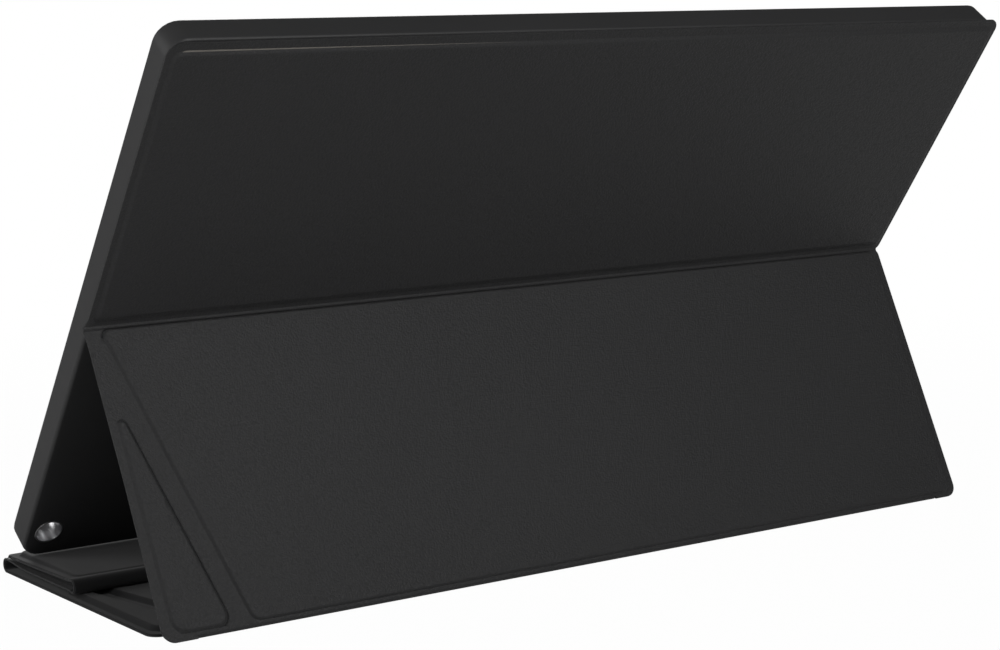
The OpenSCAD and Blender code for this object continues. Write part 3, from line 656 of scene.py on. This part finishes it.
# The stiff boards inside the leg, cut to the leather's outline: corners from the crease down
def addLegBoard(name, corners, radii, stands):
    along = Vector((0, math.cos(legHeading), math.sin(legHeading)))
    deselectAll()
    bpy.ops.mesh.primitive_plane_add(size=1)
    obj = bpy.context.object
    obj.name = obj.data.name = name
    for v, k in zip(obj.data.vertices, (0, 1, 3, 2)):
        x, y = corners[k]
        v.co = Vector((x, creaseY, creaseZ)) + along * y
    for nearCrease, radius in zip((True, False), radii):
        bpy.ops.object.mode_set(mode="EDIT")
        bpy.ops.mesh.select_mode(type="VERT")
        bpy.ops.mesh.select_all(action="DESELECT")
        mesh = bmesh.from_edit_mesh(obj.data)
        for v in mesh.verts:
            v.select_set((v.co.z > creaseZ - legHeight / 2) == nearCrease)
        bmesh.update_edit_mesh(obj.data)
        bpy.ops.mesh.bevel(offset=radius, segments=boards["segments"], affect="VERTICES")
        bpy.ops.object.mode_set(mode="OBJECT")
    slab = obj.modifiers.new("slab", "SOLIDIFY")
    slab.thickness, slab.offset = boards["thickness"], 0
    edge = obj.modifiers.new("edge", "BEVEL")
    edge.width, edge.segments = boards["edge"], 2
    applyModifiers(obj)
    bpy.ops.object.mode_set(mode="EDIT")
    bpy.ops.mesh.select_all(action="SELECT")
    bpy.ops.mesh.normals_make_consistent(inside=False)
    bpy.ops.object.mode_set(mode="OBJECT")
    obj.data.materials.append(materials["greyboard"])
    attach(obj, "leg")
    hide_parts(stands)


boards = {"thickness": 0.0010, "inset": 0.0006, "tipCorner": 0.0010, "segments": 5, "edge": 0.0001}
legHeight = creaseZ - footZ
inset = boards["inset"]
(x0, y0), (x1, _), (x2, y2), _ = legShape["main"]
addLegBoard("large_board", [(x0 + inset, y0 + inset), (x1 - inset, y0 + inset),
                            (x2 - inset, y2 - inset), (x0 + inset, y2 - inset)],
            [folio["boardCorner"]] * 2, "leg_board")
(x0, y0), (x1, _), (x2, y2), (x3, _) = legShape["small"]
addLegBoard("corner_board", [(x0, y0), (x1, y0), (x2 - inset, y2 - inset), (x3 + inset, y2 - inset)],
            [boards["tipCorner"], folio["wideCorner"]], "leg_corner_board")
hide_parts("upper_skin", "leg_skin")
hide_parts("upper_lining", "leg_lining")
for piece, slot in ((coverLeather, "leather"), (coverLining, "lining")):
    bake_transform(piece)
print("upper half and leg made,", len(coverRows), "rows")


# Foot: the leather and its lining turn under the leg and run flat to the floor panel
floor = {"rear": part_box("floor_skin")[1].y, "slantStart": 0.0022, "slant": 0.019,
         "smallStart": 0.0052, "smallSlant": 0.019, "smallSide": 0.0, "smallFlare": 0.0, "tip": 0.0024,
         "columnsAt": 0.01}
deskLine = folio["leather"] / 2
footTurn = -math.pi - legHeading
# from the foot's axis down the leg's line to the desk line
reach = (footZ - deskLine) / -math.sin(legHeading)
footTangent = spine["radius"] * math.tan(-footTurn / 2)
footRoute = Route(legSeam[0], legSeam[1], legHeading)
footRoute.line(leg["seam"] + reach - footTangent)
footRoute.arc(spine["radius"], footTurn)
footRoute.line(footRoute.point[0] - floor["rear"])
footMarks = [0.001, 0.002, 0.003]
footRows = crowd(0, footRoute.length, footMarks, near=0.00012, far=0.002, reach=0.0015, fade=0.01)
rearward = (0, 1, 0)
footSeams = [legSeamPlane, ((0, floor["rear"], 0), rearward)]
footWidth = [-spineHalf, spineHalf]


def flat(x, s):
    return 0 * x


footLeather = makeSheet("foot_leather", footRoute, footRows, lambda s: footWidth, footWidth,
                        flat, folio["leather"], materials["leather"], footSeams)
footLining = makeSheet("foot_lining", footRoute, footRows, lambda s: footWidth, footWidth,
                       lambda x, s: flat(x, s) - between, folio["lining"], materials["lining"], footSeams)
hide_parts("spine_strip")
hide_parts("spine_strip")
for piece, slot in ((footLeather, "leather"), (footLining, "lining")):
    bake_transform(piece)
print("foot made")


# Base: floor panel, fat front fold, middle panel, back fold and top panel
base = {"shoulder": 0.0016, "shoulderStart": 0.0011, "sideRamp": 0.018,
        "sideShare": 0.7, "lip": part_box("top_skin")[0].y - 0.0018, "frontCorner": 0.0018,
        "tipDrop": 0.0011, "tipStart": 0.0003, "tipRamp": 0.003}
pitch = folio["panel"] + folio["gap"]
foldRadius = pitch - folio["gap"] / 2 - folio["leather"] / 2
backLiningRadius = pitch - folio["gap"] / 2 - folio["lining"] / 2
backLeatherRadius = backLiningRadius - between
floorLength, midLength, topLength = floor["rear"] - frontY, backY - frontY, backY - base["lip"]
floorShape = trapezoid(floorLength, floor, folio["boardEnd"], folio["boardEnd"])


def panelBoard(length):
    low, high = folio["boardEnd"], length - folio["boardEnd"]
    return [(-boardHalf, low), (boardHalf, low), (boardHalf, high), (-boardHalf, high)]


midBoard, topBoard = panelBoard(midLength), panelBoard(topLength)


# Share of the full height over a panel's board
def panelSwell(x, y, board):
    away = boardDistance(x, y, board, [folio["boardCorner"]] * 4)
    return swell(away, base["shoulderStart"], base["shoulder"])


def floorSwell(x, s):  # s runs from the rear edge to the front fold
    main, small = trapezoidDistance(x, floorLength - s, floorShape)
    return swell(np.minimum(main, small), base["shoulderStart"], base["shoulder"])


def midDrop(y):
    side = base["sideShare"] * sink * easeIn(y / base["sideRamp"])
    back = sink * easeIn((y - midLength + folio["boardEnd"]) / folio["boardEnd"])
    return np.maximum(side, back)


def topDrop(y):
    return easeIn(y / base["tipRamp"]) * (base["tipStart"] + base["tipDrop"] * y / topLength)


def midLeatherLift(x, s):
    return -(1 - panelSwell(x, s, midBoard)) * midDrop(s)


def topLiningLift(x, s):
    return (1 - panelSwell(x, s, topBoard)) * topDrop(s)


def plainFeatures(trim, rounded=None):
    def at(s):
        pull = 0 if rounded is None else float(cornerPull(rounded(s), base["frontCorner"]))
        side = half - pull - trim
        return [-side, -boardHalf, boardHalf, side]
    return at


def floorFeatures(trim):
    def at(s):
        side = half - float(cornerPull(s, folio["corner"])) - trim
        y = floorLength - s
        return [-side, -boardHalf, floorShape["at"](y), floorShape["smallAt"](y), boardHalf, side]
    return at


def floorReference(trim):
    y = floorLength - floor["columnsAt"]
    return [-half + trim, -boardHalf, floorShape["at"](y), floorShape["smallAt"](y), boardHalf,
            half - trim]


def plainReference(trim):
    return [-half + trim, -boardHalf, boardHalf, half - trim]


def panelRows(length, far, marks=()):
    marks = [0, folio["boardEnd"], *marks, length - folio["boardEnd"], length]
    return crowd(0, length, marks, near=0.0003, far=far, reach=0.0012, fade=0.012)


floorPlane = ((0, frontY, 0), rearward)
backPlane = ((0, backY, 0), rearward)
floorRows = panelRows(floorLength, 0.004, [floorLength - floorShape["tipY"]])
midRows, topRows = panelRows(midLength, 0.003), panelRows(topLength, 0.003)
liningLine, midLine = deskLine + between, deskLine + 2 * foldRadius
frontTurn = {"rows": 22, "seams": [floorPlane], "body": ("base", "mid"), "stands": ["front_fold"]}
backTurn = {"seams": [backPlane], "body": ("mid", "top"), "stands": ["back_fold"]}
sheets = {
    "floor_leather": {
        "route": Route(floor["rear"], deskLine, math.pi).line(floorLength), "rows": floorRows,
        "features": floorFeatures(0), "reference": floorReference(0), "lift": flat,
        "seams": [floorPlane], "body": "base", "stands": ["floor_skin"]},
    "floor_microfibre": {
        "route": Route(floor["rear"], liningLine, math.pi).line(floorLength), "rows": floorRows,
        "features": floorFeatures(cut), "reference": floorReference(cut),
        "lift": lambda x, s: -sink * floorSwell(x, s),
        "seams": [floorPlane], "body": "base", "stands": ["floor_lining"]},
    "front_fold_leather": {
        "route": Route(frontY, deskLine, math.pi).arc(foldRadius, -math.pi),
        "bend": ((0, frontY, 0.0009), (0, frontY, 0.0045)), **frontTurn},
    "front_fold_lining": {
        "route": Route(frontY, liningLine, math.pi).arc(foldRadius - between, -math.pi),
        "bend": ((0, frontY, 0.0014), (0, frontY, 0.0040)), **frontTurn},
    "mid_leather": {
        "route": Route(frontY, midLine, 0).line(midLength), "rows": midRows, "lift": midLeatherLift,
        "seams": [floorPlane, backPlane], "body": "mid", "stands": ["mid_skin"]},
    "mid_microfibre": {
        "route": Route(frontY, midLine - between, 0).line(midLength), "rows": midRows,
        "lift": lambda x, s: midLeatherLift(x, s) - panelSwell(x, s, midBoard) * sink,
        "seams": [floorPlane, backPlane], "body": "mid", "stands": ["mid_lining"]},
    "back_fold_leather": {
        "route": Route(backY, backZ - backLeatherRadius, 0).arc(backLeatherRadius, math.pi), "rows": 18,
        "bend": ((0, backY, 0.0042), (0, backY, 0.0068)), **backTurn},
    "back_fold_lining": {
        "route": Route(backY, backZ - backLiningRadius, 0).arc(backLiningRadius, math.pi), "rows": 22,
        "bend": ((0, backY, 0.0036), (0, backY, 0.0074)), **backTurn},
    "top_leather": {
        "route": Route(backY, backZ + backLeatherRadius, math.pi).line(topLength), "rows": topRows,
        "features": plainFeatures(0, lambda s: topLength - s),
        "lift": lambda x, s: topLiningLift(x, s) + panelSwell(x, s, topBoard) * sink,
        "seams": [backPlane], "body": "top", "stands": ["top_skin"]},
    "top_microfibre": {
        "route": Route(backY, backZ + backLiningRadius, math.pi).line(topLength), "rows": topRows,
        "features": plainFeatures(cut, lambda s: topLength - s), "lift": topLiningLift,
        "seams": [backPlane], "body": "top", "stands": ["top_lining"]},
}
for name, sheet in sheets.items():
    slot, trim = ("leather", 0) if name.endswith("leather") else ("lining", cut)
    rows = sheet["rows"]
    if isinstance(rows, int):
        rows = np.linspace(0, sheet["route"].length, rows)
    features = sheet.get("features", plainFeatures(trim))
    reference = sheet.get("reference", plainReference(trim))
    piece = makeSheet(name, sheet["route"], rows, features, reference, sheet.get("lift", flat),
                      folio[slot], materials[slot], sheet["seams"])
    if isinstance(sheet["body"], tuple):
        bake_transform(piece)
    else:
        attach(piece, sheet["body"])
    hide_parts(*sheet["stands"])
print("base made")


# Bright sleeve through the monitor's corner
sleeve = {"radius": 0.0053, "wall": 0.0006, "proud": 0.00012, "sides": 96,
          "rim": 0.0002, "sharpAbove": 40}


def addSleeve(look):
    low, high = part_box("pen_hole_sleeve")
    centre = (low + high) / 2
    mount = next(m for m in frame["record"]["mounts"] if m["name"] == "pen_hole")
    length = mount["dims"]["length_mm"] / 1000 + 2 * look["proud"]
    deselectAll()
    bpy.ops.mesh.primitive_cylinder_add(vertices=look["sides"], radius=look["radius"], depth=length,
                                        end_fill_type="NOTHING", location=(0, 0, 0))
    obj = bpy.context.object
    obj.name = obj.data.name = "pen_sleeve"
    wall = obj.modifiers.new("wall", "SOLIDIFY")
    wall.thickness, wall.offset = look["wall"], -1
    rim = obj.modifiers.new("rim", "BEVEL")
    rim.width, rim.segments, rim.limit_method = look["rim"], 3, "ANGLE"
    applyModifiers(obj)
    turn = Vector(mount["axis"]).to_track_quat("Z", "Y").to_matrix().to_4x4()
    obj.data.transform(Matrix.Translation(centre) @ turn)
    obj.data.materials.append(materials["bright_metal"])
    bpy.ops.object.shade_smooth_by_angle(angle=math.radians(look["sharpAbove"]))
    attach(obj, "monitor")
    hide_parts("pen_hole_sleeve")


addSleeve(sleeve)
print("sleeve made")


# Moulded housing, its rounded corners shaded smooth
housing = {"mergeBelow": 0.000002, "sharpAbove": 28}


def addHousing(look):
    obj = bpy.data.objects.new("housing", nodes["rear_housing"].data.copy())
    bpy.context.scene.collection.objects.link(obj)
    obj.data.name = "housing"
    pick(obj)
    bpy.ops.object.mode_set(mode="EDIT")
    bpy.ops.mesh.select_all(action="SELECT")
    bpy.ops.mesh.remove_doubles(threshold=look["mergeBelow"])
    bpy.ops.object.mode_set(mode="OBJECT")
    bpy.ops.object.shade_smooth_by_angle(angle=math.radians(look["sharpAbove"]))
    shading = obj.modifiers.new("shading", "WEIGHTED_NORMAL")
    shading.keep_sharp = True
    applyModifiers(obj)
    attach(obj, "monitor")
    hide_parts("rear_housing")


addHousing(housing)
print("housing made")


# Plain pale floor, soft lamps and the surroundings
studio = {
    "floorSize": 12.0, "floorColour": (0.80, 0.80, 0.80), "floorRoughness": 0.9,
    "glowNear": 0.985, "glowFar": 1.0, "nearEdge": 0.30, "farEdge": 0.75, "glossyShare": 0.04,
    "fill": 0.01, "aim": (0, 0, 0.08),
    "lamps": [
        {"name": "side", "place": (1.0, -0.5, 0.4), "size": 0.6, "power": 1.7},
        {"name": "key", "place": (0.68, 0.22, 0.36), "size": 0.35, "power": 0.8},
        {"name": "high", "place": (-0.2, 1.2, 0.9), "size": 0.5, "power": 6.6},
        {"name": "front", "place": (-0.5, -1.5, 0.7), "size": 1.0, "power": 8},
    ],
}


def addFloor(look):
    deselectAll()
    bpy.ops.mesh.primitive_plane_add(size=look["floorSize"], location=(0, 0, 0))
    obj = bpy.context.object
    obj.name = "studio_floor"
    f = Finish("studio_floor", {"Base Color": (*look["floorColour"], 1),
                                "Roughness": look["floorRoughness"]})
    distance = f.node("ShaderNodeVectorMath", {"operation": "LENGTH"}, {0: f.coordinates()},
                      output="Value")
    away = (distance - look["nearEdge"]) * (1 / (look["farEdge"] - look["nearEdge"]))
    away = away.maths("MAXIMUM", away, 0)
    away = away.maths("MINIMUM", away, 1)
    byCamera, byShine = f.rays()
    seen = byCamera + byShine * look["glossyShare"]
    seen = seen * (away * (look["glowFar"] - look["glowNear"]) + look["glowNear"])
    plain, glow = Value(f.tree, f.shader.outputs[0]), f.node("ShaderNodeEmission")
    mixed = f.node("ShaderNodeMixShader", None, {"Fac": seen, 1: plain, 2: glow})
    f.tree.links.new(mixed.socket, f.tree.nodes["Material Output"].inputs["Surface"])
    obj.data.materials.append(f.material)


def addLamps(look):
    for lamp in look["lamps"]:
        data = bpy.data.lights.new(lamp["name"], "AREA")
        data.shape, data.size, data.energy = "DISK", lamp["size"], lamp["power"]
        obj = bpy.data.objects.new(lamp["name"], data)
        bpy.context.scene.collection.objects.link(obj)
        place = Vector(lamp["place"])
        obj.location = place
        obj.rotation_mode = "QUATERNION"
        obj.rotation_quaternion = (place - Vector(look["aim"])).to_track_quat("Z", "Y")


def addSurroundings(look):
    world = bpy.data.worlds.new("surroundings")
    bpy.context.scene.world = world
    world.use_nodes = True
    surround = Nodes(world.node_tree)
    background = world.node_tree.nodes["Background"]
    background.inputs["Color"].default_value = (1, 1, 1, 1)
    byCamera, byShine = surround.rays()
    seen = byCamera * (1 - look["fill"]) + byShine * (look["glossyShare"] - look["fill"]) + look["fill"]
    world.node_tree.links.new(seen.socket, background.inputs["Strength"])


addFloor(studio)
addLamps(studio)
addSurroundings(studio)
bpy.context.scene.view_settings.view_transform = "Standard"
print("studio made")
